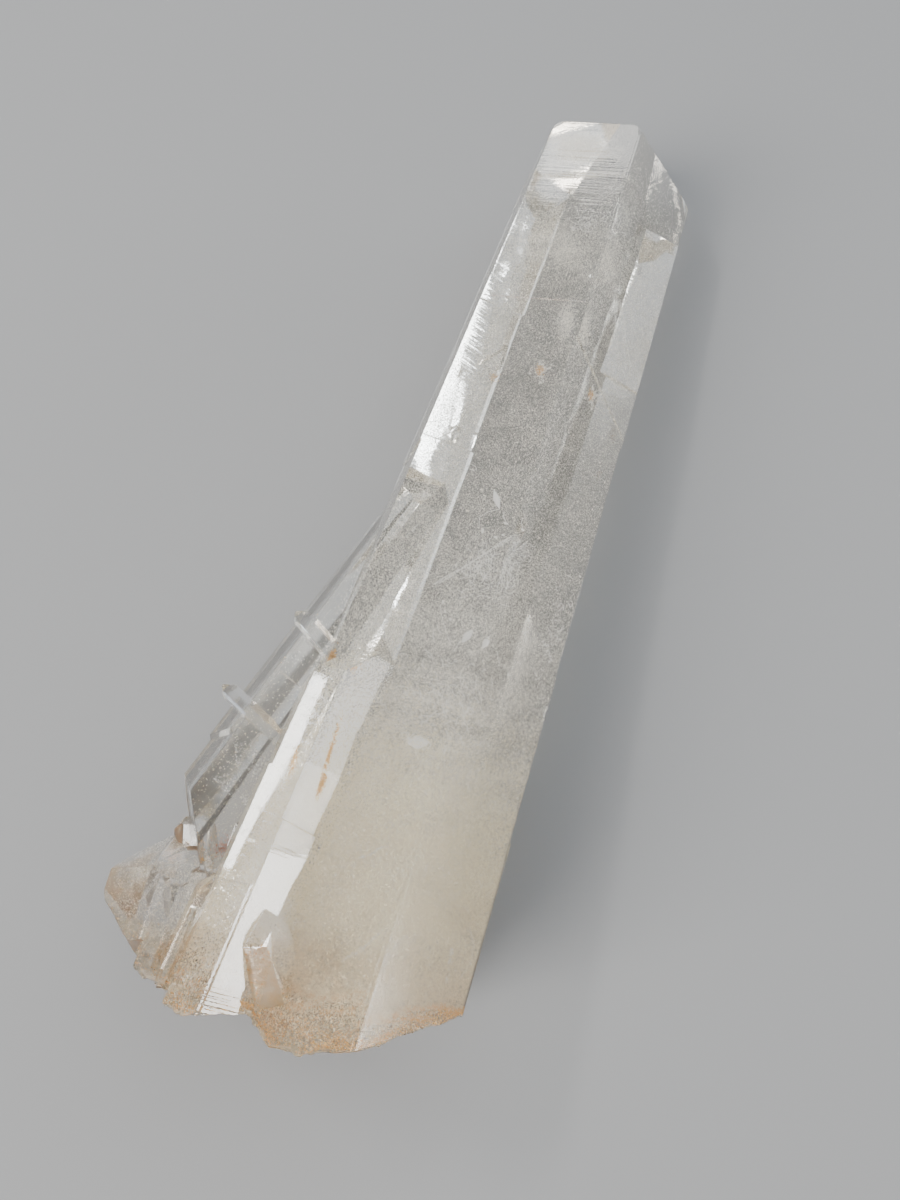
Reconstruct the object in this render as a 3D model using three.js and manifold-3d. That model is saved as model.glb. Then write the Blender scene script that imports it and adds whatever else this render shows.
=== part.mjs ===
// A quartz crystal point with smaller crystals grown on its side, broken off at the foot.
// Millimetres, +Z up. The long crystal points along +Y and lies on its lower edge and on the
// flat underside of the crystal that leans against it.

import * as THREE from "three";
import { ConvexGeometry } from "three/addons/geometries/ConvexGeometry.js";
import { mergeVertices } from "three/addons/utils/BufferGeometryUtils.js";
import Module from "manifold-3d";

const wasm = await Module();
wasm.setup();

const degree = Math.PI / 180;

// Quartz grows as a six-sided prism. Each end face leans in towards the long axis at this angle.
const endFaceSlope = 38.2;

// Each crystal is given by a point on its long axis at the root, the axis's heading (clockwise
// from +Y) and climb, and its roll about that axis, all in degrees. Then come three values for
// each prism face: its distance from the axis at the root, its taper in degrees, and how far up
// the axis it gives way to its end face. The faces go in this order, seen from the root:
// upper left, top, upper right, lower right, underside, lower left.
const upperLeft = 0;
const top = 1;
const upperRight = 2;
const lowerRight = 3;
const underside = 4;
const lowerLeft = 5;

const mainCrystal = {
  root: [5, -80, 17.2],
  heading: -0.3,
  climb: -1.8,
  roll: 9.9,
  reach: [18.1, 18.5, 19.9, 15.8, 16.1, 14.9],
  taper: [0.7, 1.1, 2.1, 0.2, 1.7, 1.4],
  shoulder: [171.6, 172.6, 171.2, 170, 166.4, 166.4],
};

const leaningCrystal = {
  root: [-23.3, -72, 12],
  heading: 12.5,
  climb: 0,
  roll: 0,
  reach: [9.8, 12, 8, 8, 12, 9.8],
  taper: [2, 0.6, 0, 0, 0, 2],
  shoulder: [84, 86, 88, 88, 84, 84],
};

// The blade has grown in line with the main crystal, half sunk in its top face.
const bladeCrystal = {
  root: [-5, -80, 33.2],
  heading: -0.3,
  climb: -1.8,
  roll: 9.9,
  reach: [5.4, 6.9, 5.2, 6, 6, 6],
  taper: [1.3, -0.2, -1.3, 0, 0, 0],
  shoulder: [50.4, 51, 55.4, 56, 56, 53],
};

const needleCrystals = [
  {
    root: [-8.9, -38.8, 21.3],
    heading: -67.4,
    climb: 19,
    roll: 20,
    reach: [1.3, 1.2, 1.3, 1.3, 1.2, 1.3],
    taper: [0.4, 0.2, 0.4, 0.3, 0.2, 0.4],
    shoulder: [14.5, 14.3, 14, 14.5, 14.8, 14.7],
  },
  {
    root: [-6.6, -24.4, 22.6],
    heading: -61.5,
    climb: 22,
    roll: 8,
    reach: [1.5, 1.1, 1.3, 1.4, 1.1, 1.4],
    taper: [0.5, 0.2, 0.5, 0.4, 0.2, 0.4],
    shoulder: [11, 10.7, 10.3, 10.8, 11.2, 11],
  },
];

const buttonCrystal = {
  root: [-13, -62.4, 13.9],
  heading: -93,
  climb: 4,
  roll: 12,
  reach: [8.3, 7.8, 7.7, 7.8, 7.4, 8],
  taper: [2, 2, 2.5, 2, 2, 2],
  shoulder: [10.6, 8.6, 10.4, 11.5, 9, 10],
};

const wedgedCrystal = {
  root: [-10.5, -50.3, 19.4],
  heading: -107.8,
  climb: -8,
  roll: 14,
  reach: [2.6, 1.9, 2.3, 2.4, 2, 2.5],
  taper: [1.5, 0.5, 1.5, 1, 0.5, 1],
  shoulder: [11.3, 11.6, 12.2, 12, 11.4, 11],
};

const footCrystals = [
  {
    root: [-15.3, -76, 22.6],
    heading: -1.5,
    climb: 5,
    roll: 16,
    reach: [3.5, 4.8, 3.6, 3.8, 5, 3.6],
    taper: [1, 1, 1, 1, 1, 1],
    shoulder: [14.5, 15.6, 16.4, 15, 14, 15],
  },
  {
    root: [-18.2, -76, 15.8],
    heading: 4,
    climb: 3,
    roll: 22,
    reach: [3.6, 4.6, 4, 4, 5, 4],
    taper: [1, 1, 1, 1, 1, 1],
    shoulder: [12.5, 13, 14, 13.6, 12.4, 13],
  },
  {
    root: [-10.9, -76, 28],
    heading: 0,
    climb: 2,
    roll: 8,
    reach: [3, 5.4, 3.2, 3, 5, 3.4],
    taper: [1, 1, 1, 1, 1, 1],
    shoulder: [13.8, 13.4, 14.6, 14, 13, 14],
  },
  {
    root: [-11.9, -70, 29.6],
    heading: 6,
    climb: 12,
    roll: 2,
    reach: [1.9, 2.3, 1.8, 2, 2.4, 2],
    taper: [1, 1, 1, 1, 1, 1],
    shoulder: [10.6, 11, 11.4, 11, 10.4, 10.8],
  },
  {
    root: [-7.5, -68, 34.6],
    heading: 2,
    climb: 9,
    roll: -4,
    reach: [2.2, 2.7, 2, 2, 2.6, 2.2],
    taper: [1.5, 1, 1.5, 1, 1, 1],
    shoulder: [10, 10.3, 10.8, 10.5, 9.8, 10.2],
  },
  {
    root: [-9.3, -70, 33.2],
    heading: 10,
    climb: 7,
    roll: 12,
    reach: [1.6, 2.2, 1.5, 1.6, 2, 1.7],
    taper: [1, 1, 1, 1, 1, 1],
    shoulder: [8.6, 8.2, 9, 8.8, 8.4, 8.6],
  },
];

const perchedCrystal = {
  root: [2.6, -68.6, 33.4],
  heading: -33,
  climb: 24,
  roll: 10,
  reach: [2.9, 2.8, 2.9, 3.4, 3, 3.2],
  taper: [2, 1, 2, 1, 1, 1],
  shoulder: [8.2, 7.4, 8.6, 8.2, 8, 7.6],
};

// Growth sheets: thin layers that stop part of the way along a face and leave a low ledge.
// start and end are distances up the axis, and slant turns the ledge off square, in degrees.
const mainSheets = [
  { face: top, start: -20, end: 47, rise: 0.22, slant: 4 },
  { face: top, start: 128, end: 166, rise: 0.14, slant: -3 },
  { face: upperRight, start: -20, end: 62, rise: 0.3, slant: -6 },
  { face: upperRight, start: 118, end: 180, rise: 0.3, slant: 24 },
  { face: lowerRight, start: 113, end: 180, rise: 0.3, slant: -20 },
  { face: lowerRight, start: -20, end: 38, rise: 0.35, slant: 5 },
  { face: upperLeft, start: 96, end: 180, rise: 0.2, slant: 8 },
  { face: lowerLeft, start: 104, end: 131, rise: 0.35, slant: 10 },
  { face: underside, start: 24, end: 126, rise: 0.35, slant: -5 },
];

const bladeSheets = [
  { face: upperRight, start: -20, end: 31, rise: 0.25, slant: 3 },
  { face: top, start: -20, end: 22, rise: 0.3, slant: -7 },
  { face: upperLeft, start: -20, end: 37, rise: 0.35, slant: 9 },
];

const leaningSheets = [
  { face: top, start: -20, end: 44, rise: 0.25, slant: 6 },
  { face: upperLeft, start: 33, end: 95, rise: 0.7, slant: -8 },
];

// The small bevel where the upper right, lower right and end faces of the main crystal meet.
const cornerBevel = { at: [19.3, 91.2, 15.2], facing: [0.72, 0.6, 0.34] };

// The leaning crystal is broken away slantwise at its lower left.
const leaningBreak = { at: [-28, -45.5, 12], facing: [-0.8, -0.53, 0.29] };

// Shallow shell-shaped chips along the edges: a point on the edge, and the chip's radius.
const edgeChips = [
  { at: [-12.7, 44, 15.9], radius: 1.1 },
  { at: [9.1, 52.5, 30.5], radius: 0.7 },
  { at: [23.3, -21, 21.6], radius: 0.9 },
  { at: [8.6, 91.6, 28.6], radius: 1.2 },
  { at: [17, 31, 2.6], radius: 1.4 },
  { at: [-28.3, -43, 12.2], radius: 0.9 },
];

// The broken foot: a rough fracture across the whole cluster. These are points along its upper
// rim, from left to right. Below the rim the break slopes back under the crystals.
const footRim = [
  [-34, -73.5, 12],
  [-24, -72.5, 13],
  [-20.4, -70.9, 16],
  [-15, -72.8, 24],
  [-11.7, -72.2, 30],
  [-7.9, -73, 36],
  [-5.9, -73.4, 37.5],
  [-2.2, -72.2, 39],
  [0.4, -71.8, 38.5],
  [3.9, -73.7, 35.2],
  [8.3, -73.1, 36],
  [12.3, -71.2, 36.6],
  [15.4, -69.7, 36],
  [20.1, -66.6, 30],
  [23.2, -64.9, 26],
  [25, -63.9, 23],
  [34, -60, 10],
];
const footUndercut = 0.1;
const footStep = 1.25;

// Shell-shaped hollows and swellings in the break.
const footScoops = [
  { x: 10, z: 20, radius: 12, depth: 3 },
  { x: -3, z: 14, radius: 9, depth: 2.2 },
  { x: 0, z: 27, radius: 6, depth: -1.2 },
  { x: -22, z: 6, radius: 7, depth: 1.6 },
  { x: 17, z: 9, radius: 6, depth: -1.2 },
];

// The lowest edge is rubbed flat by this much, so the cluster lies on narrow flats.
const wear = 0.4;

const crystalColour = 0xd8d2c6;

function vector(list) {
  return new THREE.Vector3(list[0], list[1], list[2]);
}

function axesOf(crystal) {
  const heading = crystal.heading * degree;
  const climb = crystal.climb * degree;
  const along = new THREE.Vector3(
    Math.sin(heading) * Math.cos(climb),
    Math.cos(heading) * Math.cos(climb),
    Math.sin(climb),
  );
  const side = new THREE.Vector3(Math.cos(heading), -Math.sin(heading), 0);
  const up = new THREE.Vector3().crossVectors(side, along);
  return { along, side, up };
}

// The direction that a prism face looks in, before its taper.
function faceDirection(crystal, face) {
  const { side, up } = axesOf(crystal);
  const turn = (crystal.roll + 60 * (1 - face)) * degree;
  return side.clone().multiplyScalar(-Math.sin(turn)).addScaledVector(up, Math.cos(turn));
}

function planeThrough(facing, point) {
  const normal = facing.clone().normalize();
  return { normal, distance: normal.dot(point) };
}

function prismPlane(crystal, face, rise = 0) {
  const { along } = axesOf(crystal);
  const outward = faceDirection(crystal, face);
  const taper = crystal.taper[face] * degree;
  const facing = outward.clone().multiplyScalar(Math.cos(taper)).addScaledVector(along, Math.sin(taper));
  const point = vector(crystal.root).addScaledVector(outward, crystal.reach[face] + rise);
  return planeThrough(facing, point);
}

function endPlane(crystal, face) {
  const { along } = axesOf(crystal);
  const outward = faceDirection(crystal, face);
  const slope = endFaceSlope * degree;
  const facing = outward.clone().multiplyScalar(Math.cos(slope)).addScaledVector(along, Math.sin(slope));
  const shoulder = crystal.shoulder[face];
  const reach = crystal.reach[face] - shoulder * Math.tan(crystal.taper[face] * degree);
  const point = vector(crystal.root).addScaledVector(along, shoulder).addScaledVector(outward, reach);
  return planeThrough(facing, point);
}

function rootPlane(crystal, distance = 0) {
  const { along } = axesOf(crystal);
  return planeThrough(along.clone().negate(), vector(crystal.root).addScaledVector(along, distance));
}

function crystalPlanes(crystal) {
  const planes = [rootPlane(crystal)];
  for (let face = 0; face < 6; face += 1) {
    planes.push(prismPlane(crystal, face), endPlane(crystal, face));
  }
  return planes;
}

// The corners of the convex body that lies behind every plane.
function cornersOf(planes) {
  const corners = [];
  const matrix = new THREE.Matrix3();
  for (let i = 0; i < planes.length; i += 1) {
    for (let j = i + 1; j < planes.length; j += 1) {
      for (let k = j + 1; k < planes.length; k += 1) {
        const [a, b, c] = [planes[i].normal, planes[j].normal, planes[k].normal];
        matrix.set(a.x, a.y, a.z, b.x, b.y, b.z, c.x, c.y, c.z);
        if (Math.abs(matrix.determinant()) < 1e-6) continue;
        const corner = new THREE.Vector3(planes[i].distance, planes[j].distance, planes[k].distance);
        corner.applyMatrix3(matrix.invert());
        const inside = planes.every((plane) => plane.normal.dot(corner) <= plane.distance + 1e-6);
        const isNew = corners.every((other) => other.distanceTo(corner) > 1e-3);
        if (inside && isNew) corners.push(corner);
      }
    }
  }
  return corners;
}

function toSolid(geometry) {
  geometry.deleteAttribute("normal");
  geometry.deleteAttribute("uv");
  const merged = mergeVertices(geometry, 1e-4);
  const mesh = new wasm.Mesh({
    numProp: 3,
    vertProperties: Float32Array.from(merged.attributes.position.array),
    triVerts: Uint32Array.from(merged.index.array),
  });
  mesh.merge();
  return new wasm.Manifold(mesh);
}

function toGeometry(solid) {
  const mesh = solid.getMesh();
  const geometry = new THREE.BufferGeometry();
  geometry.setAttribute("position", new THREE.BufferAttribute(mesh.vertProperties, 3));
  geometry.setIndex(new THREE.BufferAttribute(mesh.triVerts, 1));
  return geometry;
}

function convexSolid(planes) {
  return toSolid(new ConvexGeometry(cornersOf(planes)));
}

function growthSheet(crystal, sheet, extraPlanes) {
  const { along } = axesOf(crystal);
  const outward = faceDirection(crystal, sheet.face);
  const across = new THREE.Vector3().crossVectors(along, outward);
  const slant = Math.tan(sheet.slant * degree);
  const point = vector(crystal.root).addScaledVector(outward, crystal.reach[sheet.face]);
  const upper = along.clone().addScaledVector(across, slant).addScaledVector(outward, 0.8);
  const lower = along.clone().negate().addScaledVector(across, -slant).addScaledVector(outward, 0.8);
  const planes = [...crystalPlanes(crystal), ...extraPlanes];
  planes[1 + sheet.face * 2] = prismPlane(crystal, sheet.face, sheet.rise);
  planes.push(planeThrough(upper, point.clone().addScaledVector(along, sheet.end)));
  planes.push(planeThrough(lower, point.clone().addScaledVector(along, sheet.start)));
  return convexSolid(planes);
}

function grow(crystal, sheets = [], extraPlanes = []) {
  let solid = convexSolid([...crystalPlanes(crystal), ...extraPlanes]);
  for (const sheet of sheets) {
    solid = solid.add(growthSheet(crystal, sheet, extraPlanes));
  }
  return solid;
}

// A smooth value between 0 and 1 that wanders over the plane, the same on every run.
function wander(x, z) {
  const cell = (i, j) => {
    const wave = Math.sin(i * 127.1 + j * 311.7) * 43758.5453;
    return wave - Math.floor(wave);
  };
  const i = Math.floor(x);
  const j = Math.floor(z);
  const u = x - i;
  const v = z - j;
  const near = cell(i, j) * (1 - u) + cell(i + 1, j) * u;
  const far = cell(i, j + 1) * (1 - u) + cell(i + 1, j + 1) * u;
  return near * (1 - v) + far * v;
}

// How far along Y the broken foot lies, over the cluster's section in X and Z.
function footSurface(x, z) {
  let n = 1;
  while (n < footRim.length - 1 && footRim[n][0] < x) n += 1;
  const [leftX, leftY, leftZ] = footRim[n - 1];
  const [rightX, rightY, rightZ] = footRim[n];
  const share = THREE.MathUtils.clamp((x - leftX) / (rightX - leftX), 0, 1);
  const rimY = THREE.MathUtils.lerp(leftY, rightY, share);
  const rimZ = THREE.MathUtils.lerp(leftZ, rightZ, share);
  const below = Math.max(0, rimZ - z);
  let y = rimY + footUndercut * below;
  for (const scoop of footScoops) {
    const away = Math.hypot(x - scoop.x, z - scoop.z) / scoop.radius;
    if (away < 1) y += scoop.depth * (1 - away * away) + 0.2 * Math.cos(away * 19) * (1 - away);
  }
  const roughness = Math.min(1, 0.35 + below / 8);
  y += roughness * 1.7 * (wander(x / 4.6, z / 3.9 + 7) - 0.5);
  y += roughness * 0.9 * (wander(x / 2.1 + 3, z / 1.9) - 0.5);
  return y;
}

function footCutter() {
  const box = new THREE.Box3(new THREE.Vector3(-42, -110, -6), new THREE.Vector3(34, -60, 50));
  const size = box.getSize(new THREE.Vector3());
  const middle = box.getCenter(new THREE.Vector3());
  const across = Math.round(size.x / footStep);
  const tall = Math.round(size.z / footStep);
  const geometry = new THREE.BoxGeometry(size.x, size.y, size.z, across, 1, tall);
  geometry.translate(middle.x, middle.y, middle.z);
  const position = geometry.attributes.position;
  for (let n = 0; n < position.count; n += 1) {
    if (position.getY(n) > box.max.y - 0.01) {
      position.setY(n, footSurface(position.getX(n), position.getZ(n)));
    }
  }
  return toSolid(geometry);
}

function chipCutter(chip) {
  const geometry = new THREE.IcosahedronGeometry(chip.radius, 1);
  geometry.scale(0.7, 1.5, 1);
  geometry.translate(chip.at[0], chip.at[1], chip.at[2]);
  return toSolid(geometry);
}

function wornCutter() {
  const geometry = new THREE.BoxGeometry(140, 320, 20);
  geometry.translate(0, 0, wear - 10);
  return toSolid(geometry);
}

function clusterSolid() {
  const bevel = planeThrough(vector(cornerBevel.facing), vector(cornerBevel.at));
  const broken = planeThrough(vector(leaningBreak.facing), vector(leaningBreak.at));
  let solid = grow(mainCrystal, mainSheets, [bevel]);
  solid = solid.add(grow(leaningCrystal, leaningSheets, [broken]));
  solid = solid.add(grow(bladeCrystal, bladeSheets));
  for (const crystal of [...needleCrystals, ...footCrystals]) {
    solid = solid.add(grow(crystal));
  }
  for (const crystal of [buttonCrystal, wedgedCrystal, perchedCrystal]) {
    solid = solid.add(grow(crystal));
  }
  solid = solid.subtract(footCutter());
  for (const chip of edgeChips) {
    solid = solid.subtract(chipCutter(chip));
  }
  return solid.subtract(wornCutter());
}

const geometry = toGeometry(clusterSolid());
geometry.computeBoundingBox();
const box = geometry.boundingBox;
geometry.translate(-(box.min.x + box.max.x) / 2, -(box.min.y + box.max.y) / 2, -box.min.z);

const material = new THREE.MeshStandardMaterial({ color: crystalColour, roughness: 0.08, metalness: 0 });
const crystal = new THREE.Mesh(geometry, material);
crystal.name = "quartz_cluster";

const part = new THREE.Group();
part.add(crystal);

export default part;
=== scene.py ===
import math
import bmesh
import bpy
import numpy as np
from mathutils import Matrix, Vector, noise
from mathutils.bvhtree import BVHTree


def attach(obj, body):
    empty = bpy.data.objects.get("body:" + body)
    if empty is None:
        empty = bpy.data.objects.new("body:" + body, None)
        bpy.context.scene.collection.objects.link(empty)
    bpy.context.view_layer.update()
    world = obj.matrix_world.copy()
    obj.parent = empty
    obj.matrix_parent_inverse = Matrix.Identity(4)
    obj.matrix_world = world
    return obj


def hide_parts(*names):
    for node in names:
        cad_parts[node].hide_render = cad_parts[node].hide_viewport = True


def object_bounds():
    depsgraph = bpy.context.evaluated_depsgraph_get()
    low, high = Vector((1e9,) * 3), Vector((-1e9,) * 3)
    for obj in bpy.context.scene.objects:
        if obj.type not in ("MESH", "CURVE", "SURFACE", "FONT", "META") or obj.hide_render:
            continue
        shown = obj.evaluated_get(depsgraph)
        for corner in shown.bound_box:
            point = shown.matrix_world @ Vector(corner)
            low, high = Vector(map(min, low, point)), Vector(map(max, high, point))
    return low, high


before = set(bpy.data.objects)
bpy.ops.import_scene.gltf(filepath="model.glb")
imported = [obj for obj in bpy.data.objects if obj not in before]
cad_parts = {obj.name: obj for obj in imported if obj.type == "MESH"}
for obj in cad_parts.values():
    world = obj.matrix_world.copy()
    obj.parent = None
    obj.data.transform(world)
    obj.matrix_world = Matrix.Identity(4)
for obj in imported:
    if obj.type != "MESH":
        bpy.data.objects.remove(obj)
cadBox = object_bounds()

mm = 0.001

# lengths in the dictionaries below are in millimetres, in the part's own frame, but for the lights

# camera, floor and how far light is followed
studio = {
    "cameraPlace": (28.46, -73.62, 151.6),
    "cameraTurn": (22.578, 1.804, 18.7),
    "lens": 27.0,
    "floorColour": (0.225, 0.224, 0.222),
    "floorDrop": -0.12,  # a hair below the worn flats, so light gets in between
    "floorReach": 9000.0,
    "worldColour": (0.82, 0.88, 0.96),
    "worldStrength": 0.95,
    "bounces": {"max_bounces": 14, "diffuse_bounces": 5, "transmission_bounces": 14, "glossy_bounces": 6},
}

# area lights, in metres: place, target, width, height, power, colour and, for some, the way the width lies
lights = {
    "keySoft": ((-0.55, -0.75, 0.75), (0, 0, 0), 0.7, 0.7, 27.0, (1.0, 0.97, 0.93)),
    "fillSoft": ((0.5, 0.9, 1.0), (0, 0, 0), 1.6, 1.6, 9.0, (0.9, 0.95, 1.0)),
    # a cool sheen on the sides
    "sideSoft": ((1.5, 0.9, 0.32), (0, 0, 0.02), 1.0, 0.44, 17.0, (0.86, 0.93, 1.0)),
    # small ones that flash in the faces of the blade and in the tip
    "flashSoft": ((0.62, -0.104, 0.05), (0, -0.07, 0.035), 0.13, 0.1, 1.1, (1, 1, 1)),
    "sheenSoft": ((0.62, -0.002, 0.055), (0, -0.06, 0.037), 0.07, 0.09, 0.24, (1, 0.99, 0.97)),
    "sheenFar": ((0.68, 0.095, 0.07), (0, -0.05, 0.037), 0.11, 0.09, 0.216, (1, 0.99, 0.97)),
    "bladeSoft": (
        (-0.4363, 0.0631, 0.5972), (-0.002, -0.058, 0.039), 0.185, 0.06, 1.6, (1, 1, 1),
        (-0.1313, -0.9863, 0.0991),
    ),
    "tipSoft": (
        (-0.227, 0.636, 0.367), (0.003, 0.068, 0.027), 0.085, 0.072, 0.12, (1, 0.98, 0.95),
        (0.95, 0.27, 0.15),
    ),
}


def softLight(name, place, target, width, height, power, colour, along=None):
    data = bpy.data.lights.new(name, "AREA")
    data.shape = "RECTANGLE"
    data.size = width
    data.size_y = height
    data.energy = power
    data.color = colour
    light = bpy.data.objects.new(name, data)
    bpy.context.scene.collection.objects.link(light)
    light.location = place
    aim = Vector(target) - Vector(place)
    turn = aim.to_track_quat("-Z", "Y")
    if along:
        back = -aim.normalized()
        side = (Vector(along) - back * back.dot(Vector(along))).normalized()
        turn = Matrix((side, back.cross(side), back)).transposed().to_quaternion()
    light.rotation_euler = turn.to_euler()


def buildStudio(s):
    scene = bpy.context.scene
    data = bpy.data.cameras.new("camera")
    data.sensor_width = 36.0
    data.lens = s["lens"]
    data.clip_start = 0.01
    camera = bpy.data.objects.new("camera", data)
    scene.collection.objects.link(camera)
    camera.location = Vector(s["cameraPlace"]) * mm
    camera.rotation_euler = [math.radians(a) for a in s["cameraTurn"]]
    scene.camera = camera

    mesh = bpy.data.meshes.new("floor")
    r = s["floorReach"] * mm
    z = s["floorDrop"] * mm
    mesh.from_pydata([(-r, -r, z), (r, -r, z), (r, r, z), (-r, r, z)], [], [(0, 1, 2, 3)])
    floor = bpy.data.objects.new("floor", mesh)
    scene.collection.objects.link(floor)
    mat = bpy.data.materials.new("palePaper")
    mat.use_nodes = True
    bsdf = mat.node_tree.nodes["Principled BSDF"]
    bsdf.inputs["Base Color"].default_value = (*s["floorColour"], 1)
    bsdf.inputs["Roughness"].default_value = 0.9
    bsdf.inputs["Specular IOR Level"].default_value = 0.2
    mesh.materials.append(mat)

    world = bpy.data.worlds.new("studio")
    scene.world = world
    world.use_nodes = True
    back = world.node_tree.nodes["Background"]
    back.inputs["Color"].default_value = (*s["worldColour"], 1)
    back.inputs["Strength"].default_value = s["worldStrength"]

    # light has to cross many faces and specks inside the quartz
    for setting, count in s["bounces"].items():
        setattr(scene.cycles, setting, count)


buildStudio(studio)
for name, values in lights.items():
    softLight(name, *values)
print("studio ready")

# shader helpers


def newMaterial(name):
    mat = bpy.data.materials.new(name)
    mat.use_nodes = True
    return mat, mat.node_tree, mat.node_tree.nodes["Principled BSDF"]


def addMath(tree, operation, first, second=None, third=None, clamp=False):
    node = tree.nodes.new("ShaderNodeMath")
    node.operation = operation
    node.use_clamp = clamp
    for socket, value in zip(node.inputs, (first, second, third)):
        if value is None:
            continue
        if isinstance(value, (int, float)):
            socket.default_value = value
        else:
            tree.links.new(value, socket)
    return node.outputs[0]


def newGroup(name, inputs, outputs):
    group = bpy.data.node_groups.new(name, "ShaderNodeTree")
    for label, kind, value in inputs:
        socket = group.interface.new_socket(label, in_out="INPUT", socket_type=kind)
        if value is not None:
            socket.default_value = value
    for label, kind in outputs:
        group.interface.new_socket(label, in_out="OUTPUT", socket_type=kind)
    entry = group.nodes.new("NodeGroupInput")
    leave = group.nodes.new("NodeGroupOutput")
    return group, entry.outputs, leave.inputs


def scaledPlace(tree, place, scale):
    node = tree.nodes.new("ShaderNodeVectorMath")
    node.operation = "MULTIPLY"
    tree.links.new(place, node.inputs[0])
    node.inputs[1].default_value = scale
    return node.outputs[0]


def noiseAt(tree, vector, scale, detail=2.0, roughness=0.5, distortion=0.0):
    node = tree.nodes.new("ShaderNodeTexNoise")
    tree.links.new(vector, node.inputs["Vector"])
    node.inputs["Scale"].default_value = scale
    node.inputs["Detail"].default_value = detail
    node.inputs["Roughness"].default_value = roughness
    node.inputs["Distortion"].default_value = distortion
    return node.outputs["Fac"]


def ranged(tree, value, low, high, outLow=0.0, outHigh=1.0):
    node = tree.nodes.new("ShaderNodeMapRange")
    node.interpolation_type = "SMOOTHSTEP"
    tree.links.new(value, node.inputs["Value"])
    node.inputs["From Min"].default_value = low
    node.inputs["From Max"].default_value = high
    node.inputs["To Min"].default_value = outLow
    node.inputs["To Max"].default_value = outHigh
    return node.outputs["Result"]


def growthLinesGroup():
    # fine steps across the prism faces, square to the long axis, that come and go in patches
    g, given, out = newGroup(
        "growthLines",
        [("Place", "NodeSocketVector", None), ("Depth", "NodeSocketFloat", 1.0)],
        [("Height", "NodeSocketFloat")],
    )
    fine = noiseAt(g, scaledPlace(g, given["Place"], (25, 1500, 25)), 1.0, 2.0, 0.6)
    broad = noiseAt(g, scaledPlace(g, given["Place"], (12, 320, 12)), 1.0, 1.0, 0.5)
    here = noiseAt(g, scaledPlace(g, given["Place"], (60, 38, 60)), 1.0, 2.0)
    patch = ranged(g, here, 0.46, 0.66, 0.05, 1.0)
    wave = noiseAt(g, given["Place"], 90.0, 0.0)
    lines = addMath(g, "ADD", fine, addMath(g, "MULTIPLY", broad, 1.6))
    marked = addMath(g, "MULTIPLY", lines, patch)
    total = addMath(g, "ADD", marked, addMath(g, "MULTIPLY", wave, 0.8))
    g.links.new(addMath(g, "MULTIPLY", total, given["Depth"]), out["Height"])
    return g


def ironStainGroup():
    # rust that soaked in from the broken foot, strongest along its rim
    g, given, out = newGroup(
        "ironStain",
        [("Place", "NodeSocketVector", None), ("Amount", "NodeSocketFloat", 1.0)],
        [("Mask", "NodeSocketFloat")],
    )
    axes = g.nodes.new("ShaderNodeSeparateXYZ")
    g.links.new(given["Place"], axes.inputs[0])
    near = ranged(g, axes.outputs["Y"], -0.0875, -0.071, 1.0, 0.0)
    blot = ranged(g, noiseAt(g, given["Place"], 120.0, 4.0, 0.62, 0.6), 0.42, 0.64)
    grain = ranged(g, noiseAt(g, given["Place"], 900.0, 2.0), 0.3, 0.7, 0.55, 1.0)
    mask = addMath(g, "MULTIPLY", addMath(g, "MULTIPLY", near, blot), grain)
    g.links.new(addMath(g, "MULTIPLY", mask, given["Amount"], clamp=True), out["Mask"])
    return g


def frostGroup():
    # etched patches and streaks that dull the gloss, and a satin skin toward the foot, all but the blade
    g, given, out = newGroup(
        "etchedFrost",
        [("Place", "NodeSocketVector", None)],
        [("Mask", "NodeSocketFloat")],
    )
    axes = g.nodes.new("ShaderNodeSeparateXYZ")
    g.links.new(given["Place"], axes.inputs[0])
    cloudy = ranged(g, noiseAt(g, given["Place"], 55.0, 3.0, 0.6), 0.5, 0.75, 0.0, 0.4)
    towardFoot = ranged(g, axes.outputs["Y"], 0.0, -0.056, 0.0, 1.0)
    rightOfBlade = ranged(g, axes.outputs["X"], 0.004, 0.006, 0.0, 1.0)
    leftOfBlade = ranged(g, axes.outputs["X"], -0.008, -0.006, 0.6, 0.0)
    offBlade = addMath(g, "MAXIMUM", rightOfBlade, leftOfBlade)
    satin = addMath(g, "MULTIPLY", towardFoot, offBlade)
    brushed = noiseAt(g, scaledPlace(g, given["Place"], (260, 1300, 260)), 1.0, 2.0, 0.6)
    streaks = ranged(g, brushed, 0.5, 0.68, 0.0, 0.5)
    dull = addMath(g, "MAXIMUM", cloudy, streaks)
    g.links.new(addMath(g, "MAXIMUM", dull, satin), out["Mask"])
    return g


growthLines = growthLinesGroup()
ironStain = ironStainGroup()
etchedFrost = frostGroup()

# the quartz itself
crystal = {
    "tint": (0.985, 0.978, 0.962),
    "stainTint": (0.9, 0.66, 0.38),
    "absorption": (0.93, 0.88, 0.78),
    "absorptionDensity": 15.0,
    "ior": 1.544,
    # the grown faces, and the same for the break: roughness, what frost adds, stain, bump strength and depth
    "grown": {"gloss": 0.015, "frost": 0.13, "stain": 0.75, "bump": 0.8, "depth": 0.05},
    "broken": {"gloss": 0.2, "frost": 0.25, "stain": 1.2, "bump": 0.5, "depth": 0.15},
    "bevel": 0.09,
    "bevelAngle": 14,  # only edges at least this sharp, this long, and between faces this large
    "bevelLength": 1.2,
    "bevelArea": 12,
    "footAxis": (-0.0052, 0.9995, -0.0314),
    "footCuts": 3,
    "footBroad": 0.5,  # how far each size of lump and the ledges move the break
    "footMiddle": 0.22,
    "footFine": 0.09,
    "footLedge": 0.35,
}


def useGroup(tree, group, place, **values):
    node = tree.nodes.new("ShaderNodeGroup")
    node.node_tree = group
    tree.links.new(place, node.inputs["Place"])
    for key, value in values.items():
        node.inputs[key].default_value = value
    return node.outputs[0]


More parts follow.
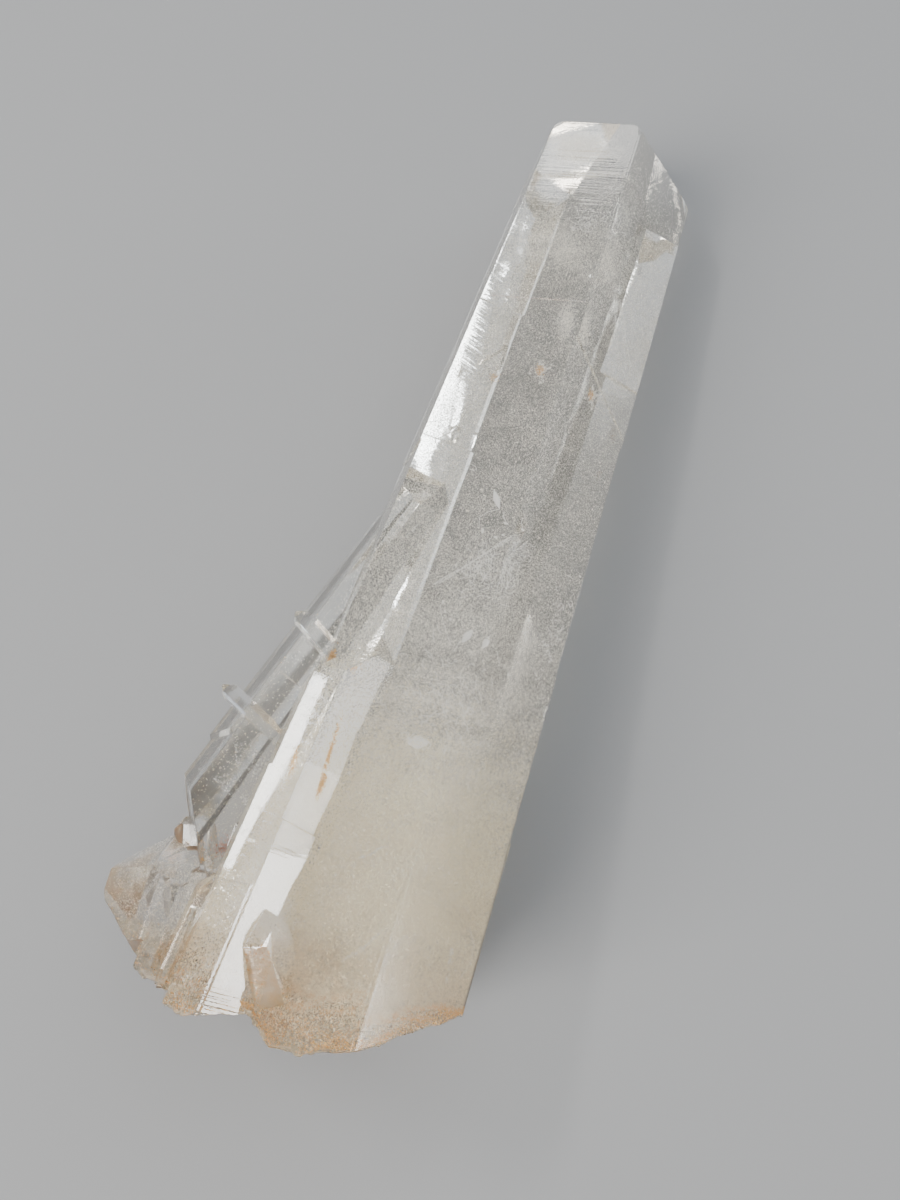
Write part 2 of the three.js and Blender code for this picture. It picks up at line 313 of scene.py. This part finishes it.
def quartzMaterial(name, c, kind):
    finish = c[kind]
    mat, nt, bsdf = newMaterial(name)
    place = nt.nodes.new("ShaderNodeTexCoord").outputs["Object"]
    bsdf.inputs["Transmission Weight"].default_value = 1.0
    bsdf.inputs["IOR"].default_value = c["ior"]
    stain = useGroup(nt, ironStain, place, Amount=finish["stain"])
    mix = nt.nodes.new("ShaderNodeMix")
    mix.data_type = "RGBA"
    nt.links.new(stain, mix.inputs["Factor"])
    mix.inputs[6].default_value = (*c["tint"], 1)
    mix.inputs[7].default_value = (*c["stainTint"], 1)
    nt.links.new(mix.outputs[2], bsdf.inputs["Base Color"])
    frost = useGroup(nt, etchedFrost, place)
    rough = addMath(nt, "MULTIPLY_ADD", frost, finish["frost"], finish["gloss"])
    nt.links.new(rough, bsdf.inputs["Roughness"])
    bump = nt.nodes.new("ShaderNodeBump")
    bump.inputs["Strength"].default_value = finish["bump"]
    bump.inputs["Distance"].default_value = finish["depth"] * mm
    if kind == "broken":
        height = noiseAt(nt, place, 1500.0, 3.0, 0.6)
    else:
        height = useGroup(nt, growthLines, place, Depth=1.0)
    nt.links.new(height, bump.inputs["Height"])
    nt.links.new(bump.outputs["Normal"], bsdf.inputs["Normal"])
    volume = nt.nodes.new("ShaderNodeVolumeAbsorption")
    volume.inputs["Color"].default_value = (*c["absorption"], 1)
    volume.inputs["Density"].default_value = c["absorptionDensity"]
    nt.links.new(volume.outputs[0], nt.nodes["Material Output"].inputs["Volume"])
    return mat


def isFoot(face):
    # the rough break that ends all the crystals
    middle = face.calc_center_median()
    return middle.y < -0.068 and face.normal.y < -0.3


def isLedge(face):
    # the narrow steps across the prism, dull in nature
    facing = face.normal.y < -0.5 and face.normal.z > 0.6 and abs(face.normal.x) < 0.15
    return facing and face.calc_center_median().y > -0.06 and face.calc_area() < 3 * mm * mm


def roughenFoot(bm, c):
    footFaces = [f for f in bm.faces if f.material_index == 1 and isFoot(f)]
    bm.edges.index_update()
    edges = sorted({e for f in footFaces for e in f.edges}, key=lambda edge: edge.index)
    bmesh.ops.subdivide_edges(bm, edges=edges, cuts=c["footCuts"], use_grid_fill=True)
    footFaces = [f for f in bm.faces if f.material_index == 1 and f.calc_center_median().y < -0.06]
    for vert in {v for f in footFaces for v in f.verts}:
        p = vert.co / mm
        rim = any(f.material_index == 0 for f in vert.link_faces)
        ledge = noise.noise(p / 7.0) * 7.0
        shift = c["footLedge"] * (math.floor(ledge) - ledge + 0.5)
        shift += c["footBroad"] * noise.noise(p / 3.1 + Vector((5, 0, 0)))
        shift += c["footMiddle"] * abs(noise.noise(p / 1.1)) + c["footFine"] * noise.noise(p / 0.42)
        vert.co += Vector(c["footAxis"]) * (shift * (0.7 if rim else 1.0) * mm)
    for face in footFaces:
        face.smooth = True


def bevelEdges(bm, c):
    chosen = []
    for edge in bm.edges:
        if len(edge.link_faces) != 2 or any(f.material_index == 1 for f in edge.link_faces):
            continue
        if edge.calc_face_angle(0) < math.radians(c["bevelAngle"]):
            continue
        if edge.calc_length() < c["bevelLength"] * mm:
            continue
        if min(f.calc_area() for f in edge.link_faces) < c["bevelArea"] * mm * mm:
            continue  # ledges stay crisp
        around = [e for v in edge.verts for e in v.link_edges]
        if min(e.calc_length() for e in around) > 0.3 * mm:
            chosen.append(edge)
    width = c["bevel"] * mm
    bmesh.ops.bevel(bm, geom=chosen, offset=width, segments=1, affect="EDGES", clamp_overlap=False)
    return len(chosen)


def buildCrystal(c):
    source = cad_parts["quartz_cluster"]
    bm = bmesh.new()
    bm.from_mesh(source.data)
    bm.transform(source.matrix_world)
    bmesh.ops.remove_doubles(bm, verts=bm.verts, dist=2e-6)
    bm.normal_update()
    for face in bm.faces:
        face.smooth = False
        face.material_index = 1 if isFoot(face) or isLedge(face) else 0
    bmesh.ops.dissolve_limit(
        bm, angle_limit=math.radians(0.25), verts=bm.verts, edges=bm.edges, delimit={"MATERIAL"}
    )
    count = bevelEdges(bm, c)
    roughenFoot(bm, c)
    bmesh.ops.triangulate(bm, faces=[f for f in bm.faces if len(f.verts) > 4])
    mesh = bpy.data.meshes.new("quartz")
    bm.to_mesh(mesh)
    bm.free()
    piece = bpy.data.objects.new("quartz", mesh)
    bpy.context.scene.collection.objects.link(piece)
    mesh.materials.append(quartzMaterial("clearQuartz", c, "grown"))
    mesh.materials.append(quartzMaterial("brokenQuartz", c, "broken"))
    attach(piece, "root")
    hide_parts("quartz_cluster")
    print("crystal: %d bevelled edges, %d faces" % (count, len(mesh.polygons)))
    return piece


quartz = buildCrystal(crystal)

# helpers for the tiny specks and sheets inside the quartz


def treeOf(piece):
    bm = bmesh.new()
    bm.from_mesh(piece.data)
    bvh = BVHTree.FromBMesh(bm)
    bm.free()
    return bvh


def patchiness(points, scale, seed, waves=26):
    # smooth ups and downs about zero, made of crossing waves
    rng = np.random.default_rng(seed)
    value = np.zeros(len(points))
    for n in range(waves):
        k = rng.normal(size=3)
        k *= (0.5 + 2.2 * rng.random()) / (scale * np.linalg.norm(k))
        value += np.cos(points @ k * 2 * math.pi + rng.random() * 6.283)
    return value / math.sqrt(waves)


def insideOnly(points, bvh, margin):
    # the points that lie in the quartz, at least the margin below its faces
    keep = np.zeros(len(points), bool)
    up = Vector((0, 0, 1))
    for i, p in enumerate(points):
        start = Vector(p * mm)
        hit, normal, face, distance = bvh.ray_cast(start, up)
        if hit is not None and normal.z > 0:
            keep[i] = bvh.find_nearest(start)[3] > margin * mm
    return points[keep]


def insidePrism(points, prism, margin):
    # the long crystal without its small companions
    heading, climb = math.radians(prism["heading"]), math.radians(prism["climb"])
    ahead = np.array([math.sin(heading), math.cos(heading), 0])
    side = np.array([math.cos(heading), -math.sin(heading), 0])
    along = ahead * math.cos(climb) + np.array([0, 0, math.sin(climb)])
    up = np.cross(side, along)
    offset = points - np.array(prism["root"])
    keep = np.ones(len(points), bool)
    for face in range(6):
        turn = math.radians(prism["roll"] + 60 * (1 - face))
        outward = -math.sin(turn) * side + math.cos(turn) * up
        reach = prism["reach"][face] - (offset @ along) * math.tan(math.radians(prism["taper"][face]))
        keep &= offset @ outward < reach - margin
    return keep


def speckMesh(name, points, sizes, rng, level=0.0):
    # one small triangle at each place, lying more or less level
    n = len(points)
    facing = rng.normal(size=(n, 3))
    facing /= np.linalg.norm(facing, axis=1)[:, None]
    facing[:, 2] = np.abs(facing[:, 2]) + level
    a = np.cross(facing, rng.normal(size=(n, 3)))
    a /= np.linalg.norm(a, axis=1)[:, None]
    b = np.cross(facing, a)
    b /= np.linalg.norm(b, axis=1)[:, None]
    corners = np.empty((n, 3, 3))
    for k in range(3):
        turn = 2.094 * k + rng.random(n) * 0.6
        reach = sizes * (0.45 + 0.25 * rng.random(n))
        corners[:, k] = points + a * (np.cos(turn) * reach)[:, None] + b * (np.sin(turn) * reach)[:, None]
    mesh = bpy.data.meshes.new(name)
    mesh.vertices.add(n * 3)
    mesh.loops.add(n * 3)
    mesh.polygons.add(n)
    mesh.vertices.foreach_set("co", (corners.reshape(-1) * mm).astype(np.float32))
    mesh.loops.foreach_set("vertex_index", np.arange(n * 3, dtype=np.int32))
    mesh.polygons.foreach_set("loop_start", np.arange(0, n * 3, 3, dtype=np.int32))
    mesh.polygons.foreach_set("loop_total", np.full(n, 3, dtype=np.int32))
    mesh.update()
    mesh.validate()
    return mesh


def speckMaterial(name, colour, roughness=0.8):
    mat, nt, bsdf = newMaterial(name)
    bsdf.inputs["Base Color"].default_value = (*colour, 1)
    bsdf.inputs["Roughness"].default_value = roughness
    bsdf.inputs["Specular IOR Level"].default_value = 0.0
    return mat


def addPiece(name, mesh, material):
    piece = bpy.data.objects.new(name, mesh)
    bpy.context.scene.collection.objects.link(piece)
    mesh.materials.append(material)
    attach(piece, "root")
    return piece


# milk and mist: specks scattered through the quartz, thicker toward the foot
haze = {
    "seed": 7,
    "margin": 0.28,  # how far the specks keep from the faces
    "level": 0.6,  # how flat the specks lie
    "footThick": 8,  # each zone is already this far into its fade where it starts
    "besideMain": 0.02,  # how much of it the smaller crystals hold
    "main": {
        "root": (8.27, -95.38, 16.8),
        "heading": -0.3,
        "climb": -1.8,
        "roll": 9.9,
        "reach": (18.1, 18.5, 19.9, 15.8, 16.1, 14.9),
        "taper": (0.7, 1.1, 2.1, 0.2, 1.7, 1.4),
    },
    # where each zone starts and ends along the crystal, its fade, specks, their size, patch size and tone
    "zones": {
        "milkNearFoot": (-91, -44, 18, 155000, 0.145, 16, "cream"),
        "milkMiddle": (-88, -34, 24, 155000, 0.145, 12, "cream"),
        "mistMiddle": (-80, -2, 46, 140000, 0.13, 9, "white"),
        "mistUpper": (-40, 84, 24, 155000, 0.11, 10, "white"),
        "sparks": (-60, 84, 10, 900, 0.3, 14, "white"),
    },
    "cream": (0.978, 0.9, 0.7),
    "white": (0.988, 0.957, 0.885),
}


def buildHaze(name, zone, h, bvh, box, material):
    begin, end, fade, count, size, patch = zone[:6]
    rng = np.random.default_rng(h["seed"] + patch)
    low = np.array(box[0]) / mm
    high = np.array(box[1]) / mm
    low[1] = max(low[1], begin)
    high[1] = min(high[1], end)
    found = []
    total = 0
    while total < count:
        p = low + rng.random((count, 3)) * (high - low)
        edge = np.minimum(p[:, 1] - (begin - h["footThick"]), end - p[:, 1]) / fade
        density = np.clip(edge, 0, 1) ** 1.5
        density *= np.clip(0.6 + 0.4 * patchiness(p, patch, h["seed"]), 0.05, 1.4) / 1.4
        density *= np.where(insidePrism(p, h["main"], 0.2), 1.0, h["besideMain"])
        p = insideOnly(p[rng.random(len(p)) < density], bvh, h["margin"])
        found.append(p)
        total += len(p)
    points = np.concatenate(found)[:count]
    sizes = size * np.exp(0.3 * rng.normal(size=len(points)))
    return addPiece(name, speckMesh(name, points, sizes, rng, level=h["level"]), material)


bvh = treeOf(quartz)
milk = {tone: speckMaterial(tone + "Specks", haze[tone]) for tone in ("cream", "white")}
for zoneName, zone in haze["zones"].items():
    buildHaze(zoneName, zone, haze, bvh, cadBox, milk[zone[6]])
print("haze ready")

# denser clouds, each with a middle, three reaches, a turn about the vertical, a count and a speck size;
# the ones on the faces are iron in the blade's open cracks
clouds = {
    "pale": {
        "seed": 10,
        "colour": (0.988, 0.952, 0.868),
        "tipPatch": ((1.6, 71.5, 24.0), (6.5, 4.6, 2.4), -10, 22000, 0.13),
        "tipArc": ((2.2, 64.4, 22.6), (7.5, 1.0, 1.0), 14, 4500, 0.14),
        "creamBand": ((5.5, 49.0, 17.0), (14.0, 8.0, 8.0), 0, 17000, 0.12),
        "leftBand": ((-2.4, 12.0, 17.5), (4.5, 48.0, 7.0), 0, 26000, 0.12),
        "brightPatch": ((10.9, 29.5, 24.0), (1.8, 5.0, 1.6), 8, 2600, 0.12),
        "buttonMist": ((-22.0, -77.5, 11.0), (9.0, 9.0, 10.0), 0, 10500, 0.13),
        "smallFootMist": ((-8.0, -79.0, 20.0), (10.0, 9.0, 12.0), 0, 12000, 0.13),
        "smallPointMist": ((3.2, -76.2, 35.0), (2.6, 3.6, 2.4), 0, 7000, 0.13),
        "bladeMist": ((-0.6, -66.0, 34.0), (5.0, 30.0, 6.0), 0, 26000, 0.13),
    },
    "rust": {
        "seed": 10,
        "colour": (0.7, 0.45, 0.2),
        "flakeHeart": ((9.4, 24.9, 7.2), (0.9, 1.3, 0.5), 20, 330, 0.2),
        "paleSpot": ((2.1, 18.6, 14.0), (1.0, 1.2, 0.6), 0, 120, 0.2),
        "needleRoot": ((-5.2, -40.2, 27.2), (0.9, 1.5, 1.4), 20, 420, 0.3),
    },
    "skin": {
        "seed": 10,
        "onFaces": True,
        "colour": (0.74, 0.47, 0.2),
        "bladeVeinLong": ((1.1, -54.4, 36.2), (0.32, 4.6, 0.4), 8, 420, 0.15),
        "bladeVeinLow": ((1.5, -58.8, 35.7), (0.7, 1.9, 0.5), 8, 420, 0.15),
        "bladeVeinLeft": ((-1.6, -57.4, 38.0), (0.5, 2.2, 0.3), 8, 260, 0.14),
    },
    "clay": {
        "seed": 10,
        "colour": (0.52, 0.24, 0.18),
        "crevice": ((-11.5, -69.2, 19.0), (2.8, 1.6, 1.6), 10, 520, 0.2),
    },
    "smoke": {
        "seed": 11,
        "colour": (0.3, 0.29, 0.3),
        "greySmudge": ((14.4, 53.6, 12.0), (0.9, 1.6, 0.7), 10, 160, 0.18),
    },
}


def buildClouds(name, group, bvh, margin):
    rng = np.random.default_rng(group["seed"])
    places, sizes = [], []
    for label, values in group.items():
        if label in ("seed", "onFaces", "colour"):
            continue
        middle, reach, turn, count, size = values
        ball = np.clip(rng.normal(size=(count * 2, 3)) * 0.45, -1.3, 1.3) * np.array(reach)
        c, s = math.cos(math.radians(turn)), math.sin(math.radians(turn))
        x, y, z = ball.T
        points = np.stack([c * x - s * y, s * x + c * y, z], axis=1)
        patches = patchiness(points, max(0.9 * min(reach), 0.5), count)
        ragged = patches + 0.6 * rng.normal(size=len(points)) > 0
        points = insideOnly(points[ragged] + np.array(middle), bvh, margin)[:count]
        if group.get("onFaces"):
            nearest = [bvh.find_nearest(Vector(p) * mm) for p in points]
            points = np.array([(hit[0] / mm + hit[1] * 0.05)[:] for hit in nearest])
        places.append(points)
        sizes.append(size * np.exp(0.3 * rng.normal(size=len(points))))
    mesh = speckMesh(name, np.concatenate(places), np.concatenate(sizes), rng, level=0.5)
    return addPiece(name, mesh, speckMaterial(name + "Specks", group["colour"]))


for kind, group in clouds.items():
    buildClouds(kind + "Clouds", group, bvh, 0.2)
print("clouds ready")

# healed cracks: sheets of specks between two ends, each as deep as its third corner
veils = {
    "healedCrack": ((5.4, -24.8, 25.4), (14.8, -13.4, 26.4), (0.4, 1.4, -5.0), 2600, 0.13),
    "crackTail": ((10.0, -26.0, 26.0), (14.4, -22.6, 26.6), (0.2, 0.7, -2.0), 350, 0.1),
    "flakeWingOne": ((7.6, 23.6, 6.6), (11.2, 26.0, 6.4), (0.2, 0.9, 0.8), 420, 0.17),
    "flakeWingTwo": ((8.7, 27.0, 6.6), (10.2, 22.2, 6.2), (0.7, 0.2, 0.8), 420, 0.17),
    "flakeWingThree": ((9.0, 23.2, 6.0), (10.8, 25.4, 6.8), (-0.8, 0.6, 0.5), 300, 0.17),
    "featherOne": ((14.0, 43.0, 21.0), (19.4, 29.0, 19.6), (-1.6, 0.6, -1.6), 1900, 0.12),
    "featherTwo": ((15.4, 41.5, 19.4), (21.4, 28.6, 16.4), (-1.0, 0.4, -1.0), 1400, 0.12),
    "featherThree": ((16.6, 38.5, 17.4), (21.8, 30.6, 15.0), (-0.6, 0.3, -0.6), 900, 0.12),
    "sideFlecks": ((21.6, -24.6, 19.0), (23.4, -27.4, 17.0), (-0.8, -1.0, 0.2), 90, 0.26),
    "sideLine": ((20.6, -30.2, 21.4), (24.0, -32.4, 17.4), (-0.2, -0.3, -0.3), 180, 0.14),
    "footSpindle": ((21.9, -71.8, 22.6), (22.3, -76.2, 21.4), (0.5, 0.0, -0.5), 420, 0.2),
    "leaningCrackOne": ((-17.2, -54.8, 14.6), (-13.8, -59.2, 18.0), (3.5, 1.6, -4.5), 560, 0.13),
    "leaningCrackTwo": ((-18.4, -60.6, 12.0), (-14.4, -62.4, 16.0), (2.5, 2.5, -4.0), 460, 0.13),
    "buttonCrack": ((-17.6, -74.0, 15.6), (-19.8, -79.6, 12.6), (1.0, 0.5, -3.0), 900, 0.16),
    "bladeCrack": ((-1.4, -47.6, 35.6), (-3.6, -56.4, 34.8), (0.8, 0.2, -3.0), 900, 0.13),
    "lowVeilOne": ((9.0, -66.0, 27.0), (12.4, -63.0, 28.0), (1.0, 1.0, -3.0), 700, 0.14),
    "lowVeilTwo": ((12.0, -78.0, 28.4), (16.0, -72.4, 28.4), (1.0, 0.6, -3.0), 900, 0.14),
}

# white lumps caught in the quartz: middle, length, width, thickness, turn and tip
lumps = {
    "colour": (0.9, 0.89, 0.87),
    "spindle": ((10.2, -8.0, 25.6), 3.9, 1.1, 0.5, -58, 1.0),
    "dash": ((12.9, -11.8, 26.0), 0.9, 0.4, 0.3, -8, 0.2),
    "beadOne": ((9.8, -13.9, 25.6), 1.1, 0.45, 0.4, -80, 0.3),
    "beadTwo": ((12.1, -14.5, 26.0), 0.7, 0.45, 0.4, 0, 0.2),
    "beadThree": ((13.1, -13.9, 26.1), 0.55, 0.4, 0.4, 0, 0.2),
    "beadFour": ((7.9, -27.0, 25.8), 0.8, 0.4, 0.3, -60, 0.2),
    "beadFive": ((8.7, -28.4, 25.9), 0.7, 0.35, 0.3, -60, 0.2),
    "beadSix": ((9.9, -29.4, 26.1), 0.7, 0.35, 0.3, -60, 0.2),
    "drop": ((13.1, -31.4, 26.9), 2.5, 1.3, 0.6, 70, 0.6),
    "flatChip": ((11.6, -48.5, 27.6), 3.2, 1.9, 0.6, 15, 0.4),
    "sideBead": ((24.4, -12.0, 17.2), 0.6, 0.4, 0.3, -40, 0.2),
}

# hair-fine threads, each a chain of places
threads = {
    "radius": 0.055,
    "spindleTail": ((11.2, -9.5, 25.4), (9.6, -10.4, 25.3), (8.6, -11.7, 25.2), (9.1, -13.4, 25.4)),
    "dashTail": ((12.0, -9.9, 25.8), (12.2, -10.8, 25.8), (12.9, -11.6, 26.0)),
    "ringLeft": (
        (3.7, -3.0, 24.3), (4.1, -2.5, 24.3), (5.0, -2.7, 24.4), (5.4, -3.2, 24.5), (5.0, -3.6, 24.5),
    ),
    "ringRight": ((5.0, -3.6, 24.5), (4.1, -3.4, 24.4), (3.7, -3.0, 24.3)),
    "lowLine": ((7.6, -27.6, 25.8), (9.0, -30.2, 26.0), (11.3, -33.3, 26.5)),
    "footArc": ((23.8, -68.6, 21.6), (25.0, -70.8, 19.8), (25.0, -73.0, 19.4), (24.2, -75.2, 20.2)),
}

# loose tangles of short hairs: middle, three reaches, how many and how long
hairs = {
    "web": ((11.2, -19.5, 24.6), (3.2, 4.2, 1.6), 70, 1.5),
    "lowWeb": ((12.0, -41.0, 28.0), (7.0, 9.0, 2.0), 80, 1.7),
    "sideWeb": ((23.0, -22.0, 18.0), (1.6, 9.0, 2.0), 26, 1.3),
    "topWeb": ((8.0, 54.0, 22.0), (3.5, 3.0, 3.0), 50, 1.4),
    "leftWeb": ((-1.0, 2.0, 24.0), (2.0, 20.0, 2.0), 40, 1.2),
}


def buildVeils(group, bvh):
    rng = np.random.default_rng(5)
    places, sizes = [], []
    for start, end, deep, count, size in group.values():
        start, end, deep = np.array(start), np.array(end), np.array(deep)
        along, down = rng.random(count), rng.random(count) ** 1.6
        wave = 0.12 * np.sin(along * 9 + down * 4)
        across = np.cross(end - start, deep)
        across /= np.linalg.norm(across)
        points = start + along[:, None] * (end - start) + down[:, None] * deep + wave[:, None] * across
        keep = patchiness(points, 1.6, 3) + rng.random(count) > 0.1
        places.append(insideOnly(points[keep], bvh, 0.15))
        sizes.append(size * np.exp(0.35 * rng.normal(size=len(places[-1]))))
    mesh = speckMesh("veils", np.concatenate(places), np.concatenate(sizes), rng)
    return addPiece("veils", mesh, speckMaterial("veilSpecks", (0.96, 0.955, 0.94)))


def buildLumps(group):
    bm = bmesh.new()
    for label, values in group.items():
        if label == "colour":
            continue
        middle, length, width, thick, turn, point = values
        made = bmesh.ops.create_icosphere(bm, subdivisions=3, radius=0.5)
        c, s = math.cos(math.radians(turn)), math.sin(math.radians(turn))
        for vert in made["verts"]:
            p = vert.co
            slim = (1 - point * abs(2 * p.x)) if point < 1 else (1 - abs(2 * p.x)) ** 0.7
            rough = 1 + 0.35 * noise.noise(p * 3 + Vector(middle))
            slim = max(slim, 0.05)
            x, y, z = p.x * length, p.y * width * slim * rough, p.z * thick * slim * rough
            vert.co = (Vector((c * x - s * y, s * x + c * y, z)) + Vector(middle)) * mm
    mesh = bpy.data.meshes.new("lumps")
    bm.to_mesh(mesh)
    bm.free()
    return addPiece("lumps", mesh, speckMaterial("whiteLump", group["colour"]))


def drawScribbles(group, bvh):
    # short curved hairs, each starting somewhere in a cloud and turning as it goes
    rng = np.random.default_rng(12)
    chains = []
    for middle, reach, count, length in group.values():
        while count > 0:
            start = np.array(middle) + rng.normal(size=3) * 0.5 * np.array(reach)
            heading = rng.random() * 2 * math.pi
            bend = rng.normal() * 0.5
            step = length * (0.6 + 0.8 * rng.random()) / 4
            chain = [start]
            for n in range(4):
                heading += bend
                move = np.array((math.cos(heading), math.sin(heading), 0.3 * rng.normal()))
                chain.append(chain[-1] + move * step)
            if len(insideOnly(np.array(chain), bvh, 0.2)) == 5:
                chains.append(chain)
                count -= 1
    return chains


def buildThreads(group, scribbles):
    bm = bmesh.new()
    chains = [places for label, places in group.items() if label != "radius"]
    for places in chains + scribbles:
        rings = []
        for n, place in enumerate(places):
            before = Vector(places[max(n - 1, 0)])
            after = Vector(places[min(n + 1, len(places) - 1)])
            along = (after - before).normalized()
            side = along.cross(Vector((0, 0, 1))).normalized()
            up = side.cross(along)
            ring = []
            for k in range(5):
                turn = 2 * math.pi * k / 5
                reach = (side * math.cos(turn) + up * math.sin(turn)) * group["radius"]
                ring.append(bm.verts.new((Vector(place) + reach) * mm))
            rings.append(ring)
        for first, second in zip(rings, rings[1:]):
            for k in range(5):
                bm.faces.new((first[k], first[(k + 1) % 5], second[(k + 1) % 5], second[k]))
        bm.faces.new(rings[0][::-1])
        bm.faces.new(rings[-1])
    bmesh.ops.recalc_face_normals(bm, faces=bm.faces)
    mesh = bpy.data.meshes.new("threads")
    bm.to_mesh(mesh)
    bm.free()
    return addPiece("threads", mesh, speckMaterial("whiteThread", (0.93, 0.92, 0.9)))


buildVeils(veils, bvh)
buildLumps(lumps)
buildThreads(threads, drawScribbles(hairs, bvh))
print("inclusions ready")

# rust in the skin of the broken foot
rust = {
    "count": 32000,
    "size": 0.14,
    "deepest": 0.9,  # how far in from the break
    "colour": (0.93, 0.61, 0.26),
}


def buildRust(r, source, bvh):
    rng = np.random.default_rng(21)
    mesh = source.data
    mesh.calc_loop_triangles()
    broken = {p.index for p in mesh.polygons if p.material_index == 1 and p.center.y < -0.06}
    triangles = [t for t in mesh.loop_triangles if t.polygon_index in broken]
    triangles.sort(key=lambda t: sorted(t.vertices))  # the same order each run, so the grains stay put
    area = np.array([t.area for t in triangles])
    corner = np.array([[mesh.vertices[v].co[:] for v in t.vertices] for t in triangles]) / mm
    chosen = rng.choice(len(triangles), size=r["count"] * 3, p=area / area.sum())
    u, v = rng.random(len(chosen)), rng.random(len(chosen))
    flip = u + v > 1
    u[flip], v[flip] = 1 - u[flip], 1 - v[flip]
    a, b, c = corner[chosen, 0], corner[chosen, 1], corner[chosen, 2]
    points = a + u[:, None] * (b - a) + v[:, None] * (c - a)
    points[:, 1] += 0.16 + r["deepest"] * rng.random(len(points)) ** 2
    patch = patchiness(points, 9, 4) * 0.7 + patchiness(points, 2.2, 8) * 0.5
    lean = np.clip((points[:, 0] - 4) / 26, -0.9, 1)
    keep = rng.random(len(points)) < np.clip(0.3 + 0.4 * patch + 0.6 * lean, 0.02, 1)
    points = insideOnly(points[keep], bvh, 0.08)[: r["count"]]
    sizes = r["size"] * np.exp(0.4 * rng.normal(size=len(points)))
    mesh = speckMesh("rustGrains", points, sizes, rng)
    print("rust grains:", len(points))
    return addPiece("rustGrains", mesh, speckMaterial("rustGrain", r["colour"]))


buildRust(rust, quartz, bvh)
